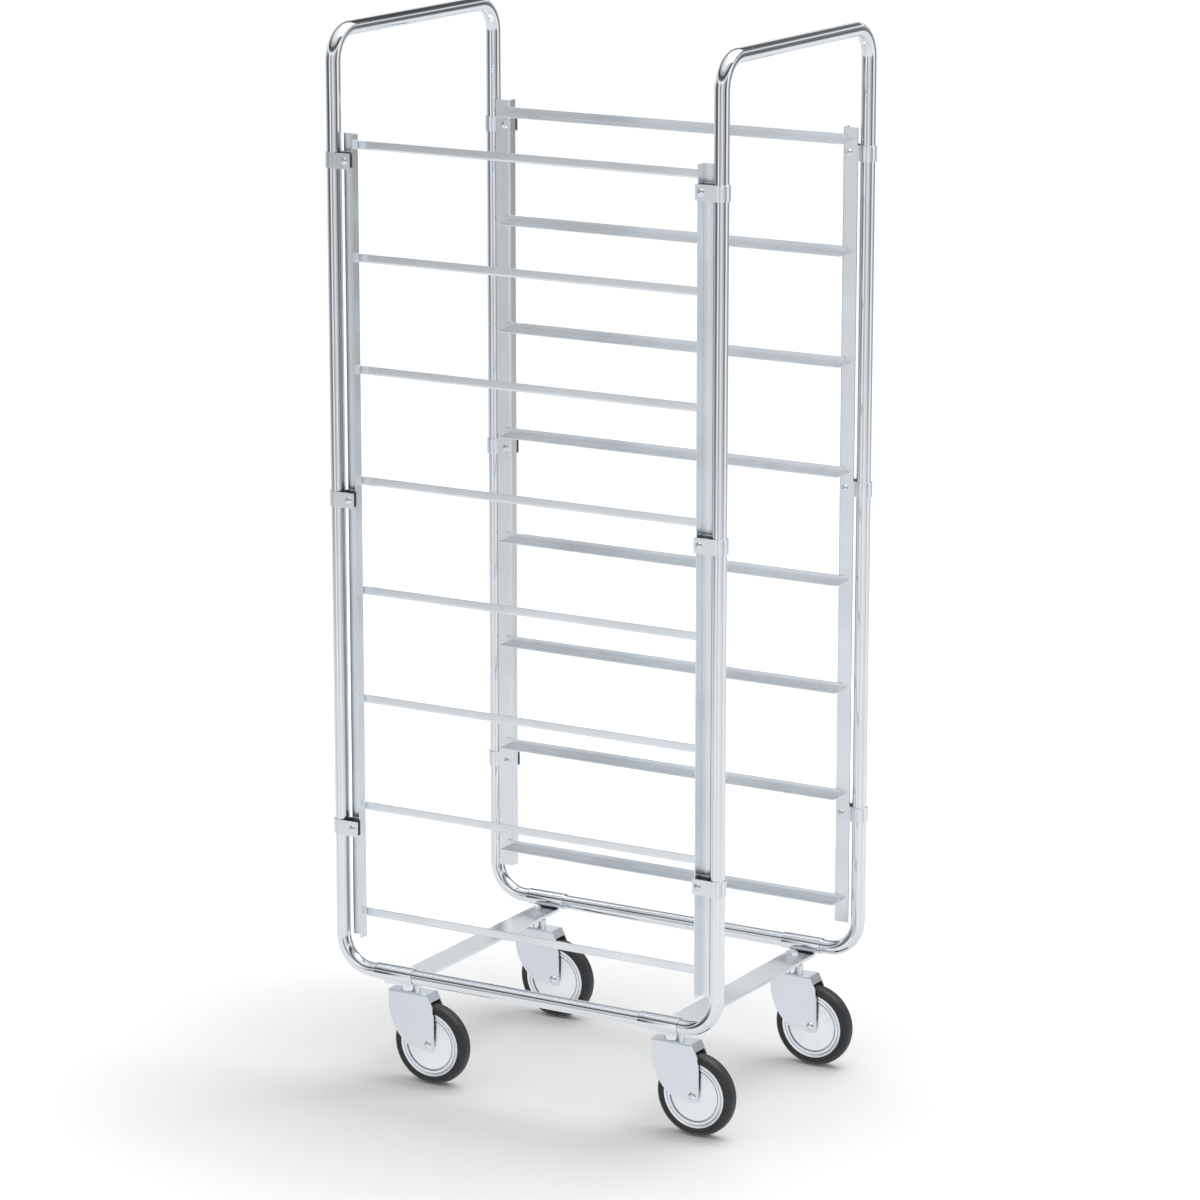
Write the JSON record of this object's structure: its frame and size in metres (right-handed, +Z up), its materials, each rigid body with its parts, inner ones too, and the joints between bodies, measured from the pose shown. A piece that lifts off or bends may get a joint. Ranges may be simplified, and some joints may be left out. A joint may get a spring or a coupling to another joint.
{
  "type": "container rack trolley",
  "caption": "Tall tube-frame rack trolley with eight pairs of angle rails for 600 x 400 mm containers and four swivel casters.",
  "frame": {"origin": "on the floor, under the middle of the trolley", "axes": "+X along the rails, +Y across them towards the rear ladder, +Z up"},
  "size_m": [0.6652, 0.4736, 1.5891],
  "materials": {
    "frame_tube": "bright zinc, polished",
    "ladder_steel": "satin zinc",
    "crossbar_steel": "satin zinc",
    "clamp_steel": "satin zinc",
    "fasteners": "bright zinc",
    "filler_black": "matte",
    "caster_steel": "satin zinc, bluish",
    "rim_steel": "satin",
    "tyre": "matte"
  },
  "bodies": {
    "frame": {"end_frame_left": "frame_tube", "end_frame_right": "frame_tube", "base_tube_front": "frame_tube", "base_tube_rear": "frame_tube", "sleeve_front_left": "frame_tube", "sleeve_front_right": "frame_tube", "sleeve_rear_left": "frame_tube", "sleeve_rear_right": "frame_tube", "crossbar_left": "crossbar_steel", "crossbar_right": "crossbar_steel", "post_front_left": "ladder_steel", "post_front_right": "ladder_steel", "post_rear_left": "ladder_steel", "post_rear_right": "ladder_steel", "front_rail_1": "ladder_steel", "front_rail_2": "ladder_steel", "front_rail_3": "ladder_steel", "front_rail_4": "ladder_steel", "front_rail_5": "ladder_steel", "front_rail_6": "ladder_steel", "front_rail_7": "ladder_steel", "front_rail_8": "ladder_steel", "rear_rail_1": "ladder_steel", "rear_rail_2": "ladder_steel", "rear_rail_3": "ladder_steel", "rear_rail_4": "ladder_steel", "rear_rail_5": "ladder_steel", "rear_rail_6": "ladder_steel", "rear_rail_7": "ladder_steel", "rear_rail_8": "ladder_steel", "clamps_front_left": "clamp_steel", "clamps_front_right": "clamp_steel", "clamps_rear_left": "clamp_steel", "clamps_rear_right": "clamp_steel", "clamp_blocks": "filler_black", "clamp_screws": "fasteners", "clamp_nuts": "fasteners", "kingpins": "fasteners", "kingpin_nuts": "fasteners", "swivel_bearing_front_left": "caster_steel", "swivel_bearing_front_right": "caster_steel", "swivel_bearing_rear_left": "caster_steel", "swivel_bearing_rear_right": "caster_steel"},
    "caster_front_left": {"caster_fork_front_left": "caster_steel", "axle_front_left": "fasteners"},
    "wheel_front_left": {"wheel_rim_front_left": "rim_steel", "tyre_front_left": "tyre"},
    "caster_front_right": {"caster_fork_front_right": "caster_steel", "axle_front_right": "fasteners"},
    "wheel_front_right": {"wheel_rim_front_right": "rim_steel", "tyre_front_right": "tyre"},
    "caster_rear_left": {"caster_fork_rear_left": "caster_steel", "axle_rear_left": "fasteners"},
    "wheel_rear_left": {"wheel_rim_rear_left": "rim_steel", "tyre_rear_left": "tyre"},
    "caster_rear_right": {"caster_fork_rear_right": "caster_steel", "axle_rear_right": "fasteners"},
    "wheel_rear_right": {"wheel_rim_rear_right": "rim_steel", "tyre_rear_right": "tyre"}
  },
  "joints": [
    {"name": "swivel_front_left", "type": "hinge", "parent": "frame", "child": "caster_front_left", "pos_m": [-0.227, -0.183, 0.1493], "axis": [0, 0, 1], "continuous": true},
    {"name": "swivel_front_right", "type": "hinge", "parent": "frame", "child": "caster_front_right", "pos_m": [0.227, -0.183, 0.1493], "axis": [0, 0, 1], "continuous": true},
    {"name": "swivel_rear_left", "type": "hinge", "parent": "frame", "child": "caster_rear_left", "pos_m": [-0.227, 0.183, 0.1493], "axis": [0, 0, 1], "continuous": true},
    {"name": "swivel_rear_right", "type": "hinge", "parent": "frame", "child": "caster_rear_right", "pos_m": [0.227, 0.183, 0.1493], "axis": [0, 0, 1], "continuous": true},
    {"name": "spin_front_left", "type": "hinge", "parent": "caster_front_left", "child": "wheel_front_left", "pos_m": [-0.187, -0.183, 0.0625], "axis": [0, 1, 0], "continuous": true},
    {"name": "spin_front_right", "type": "hinge", "parent": "caster_front_right", "child": "wheel_front_right", "pos_m": [0.267, -0.183, 0.0625], "axis": [0, 1, 0], "continuous": true},
    {"name": "spin_rear_left", "type": "hinge", "parent": "caster_rear_left", "child": "wheel_rear_left", "pos_m": [-0.187, 0.183, 0.0625], "axis": [0, 1, 0], "continuous": true},
    {"name": "spin_rear_right", "type": "hinge", "parent": "caster_rear_right", "child": "wheel_rear_right", "pos_m": [0.267, 0.183, 0.0625], "axis": [0, 1, 0], "continuous": true}
  ]
}
